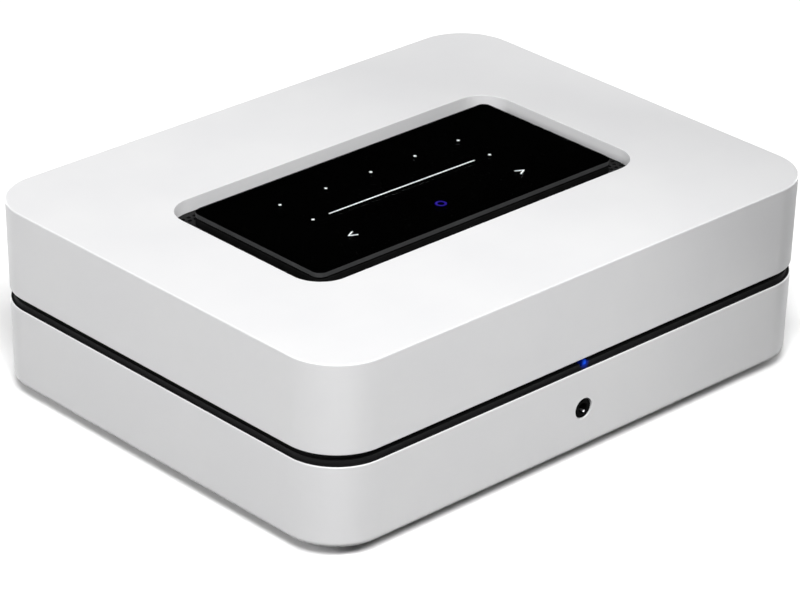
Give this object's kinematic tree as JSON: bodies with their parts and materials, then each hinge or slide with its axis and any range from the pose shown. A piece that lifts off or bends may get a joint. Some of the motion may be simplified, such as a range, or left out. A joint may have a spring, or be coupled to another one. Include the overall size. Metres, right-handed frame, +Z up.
{
  "type": "network music streamer",
  "caption": "Low white box with rounded corners, a dark band round its middle, a black touch glass sunk in the top and screw terminals on the back; plays music from a network.",
  "frame": {"origin": "centre of the whole outline, terminals included, on the standing surface", "axes": "+Z up, front facing -Y, +X to the right as seen from the front"},
  "size_m": [0.22, 0.1906, 0.0683],
  "materials": {
    "white": "fine satin white paint",
    "dark_band": "satin black",
    "black_sheet": "fine-textured black powder coat on steel",
    "mesh": "matt black perforated steel",
    "rubber": "matt black",
    "screw_steel": "bright zinc",
    "black_glass": "polished, printed black on its back",
    "sensor_film": "matt film",
    "blue_light": "clear light pipe, lit blue",
    "socket_black": "moulded black",
    "socket_metal": "nickel plate",
    "terminal_metal": "gold-plated brass",
    "terminal_red": "moulded red",
    "terminal_black": "moulded black",
    "board": "green solder resist",
    "ribbon": "polyimide film",
    "lead": "stranded wire in black sleeve",
    "sink": "extruded, plain",
    "core": "ferrite core with taped winding",
    "can": "sleeved can",
    "winding": "enamelled copper on a ring core"
  },
  "bodies": {
    "chassis": {"upper_shell": "white", "lower_shell": "white", "mid_band": "dark_band", "glass_carrier": "dark_band", "base_plate": "black_sheet", "rear_panel": "black_sheet", "vent_mesh": "mesh", "feet": "rubber", "foot_screws": "screw_steel", "case_screws": "screw_steel", "vent_screws": "screw_steel", "board_screws": "screw_steel", "terminal_nuts": "screw_steel", "touch_glass": "black_glass", "touch_sensor": "sensor_film", "light_pipe": "blue_light", "headphone_socket": "socket_black", "mains_inlet": "socket_black", "socket_tongues": "socket_black", "line_in_socket": "socket_black", "ir_in_socket": "socket_black", "sub_out_insulator": "socket_black", "inlet_pins": "socket_metal", "lan_socket": "socket_metal", "usb_socket": "socket_metal", "hdmi_socket": "socket_metal", "sub_out_barrel": "socket_metal", "radio_module": "socket_metal", "stud_right_plus": "terminal_metal", "stud_right_minus": "terminal_metal", "stud_left_plus": "terminal_metal", "stud_left_minus": "terminal_metal", "collar_right_plus": "terminal_red", "collar_left_plus": "terminal_red", "collar_right_minus": "terminal_black", "collar_left_minus": "terminal_black", "touch_board": "board", "led_board": "board", "headphone_board": "board", "main_board": "board", "amp_board": "board", "power_board": "board", "antennas": "board", "touch_ribbon": "ribbon", "speaker_leads": "lead", "heat_sink": "sink", "transformer": "core", "output_coils": "core", "bulk_capacitors": "can", "line_choke": "winding"},
    "right_plus_clamp": {"washer_right_plus": "terminal_metal"},
    "right_plus_cap": {"cap_right_plus": "terminal_red"},
    "right_minus_clamp": {"washer_right_minus": "terminal_metal"},
    "right_minus_cap": {"cap_right_minus": "terminal_black"},
    "left_plus_clamp": {"washer_left_plus": "terminal_metal"},
    "left_plus_cap": {"cap_left_plus": "terminal_red"},
    "left_minus_clamp": {"washer_left_minus": "terminal_metal"},
    "left_minus_cap": {"cap_left_minus": "terminal_black"}
  },
  "joints": [
    {"name": "right_plus_travel", "type": "slide", "parent": "chassis", "child": "right_plus_clamp", "axis": [0, 1, 0], "range_m": [0, 0.004]},
    {"name": "right_plus_turn", "type": "hinge", "parent": "right_plus_clamp", "child": "right_plus_cap", "pos_m": [0.004, 0.07208, 0.0453], "axis": [0, 1, 0], "range_deg": [0, 1440]},
    {"name": "right_minus_travel", "type": "slide", "parent": "chassis", "child": "right_minus_clamp", "axis": [0, 1, 0], "range_m": [0, 0.004]},
    {"name": "right_minus_turn", "type": "hinge", "parent": "right_minus_clamp", "child": "right_minus_cap", "pos_m": [-0.015, 0.07208, 0.0453], "axis": [0, 1, 0], "range_deg": [0, 1440]},
    {"name": "left_plus_travel", "type": "slide", "parent": "chassis", "child": "left_plus_clamp", "axis": [0, 1, 0], "range_m": [0, 0.004]},
    {"name": "left_plus_turn", "type": "hinge", "parent": "left_plus_clamp", "child": "left_plus_cap", "pos_m": [-0.034, 0.07208, 0.0453], "axis": [0, 1, 0], "range_deg": [0, 1440]},
    {"name": "left_minus_travel", "type": "slide", "parent": "chassis", "child": "left_minus_clamp", "axis": [0, 1, 0], "range_m": [0, 0.004]},
    {"name": "left_minus_turn", "type": "hinge", "parent": "left_minus_clamp", "child": "left_minus_cap", "pos_m": [-0.053, 0.07208, 0.0453], "axis": [0, 1, 0], "range_deg": [0, 1440]}
  ],
  "couplings": [
    {"joint": "right_plus_turn", "follows": "right_plus_travel", "rad_per_m": 6283.2},
    {"joint": "right_minus_turn", "follows": "right_minus_travel", "rad_per_m": 6283.2},
    {"joint": "left_plus_turn", "follows": "left_plus_travel", "rad_per_m": 6283.2},
    {"joint": "left_minus_turn", "follows": "left_minus_travel", "rad_per_m": 6283.2}
  ]
}
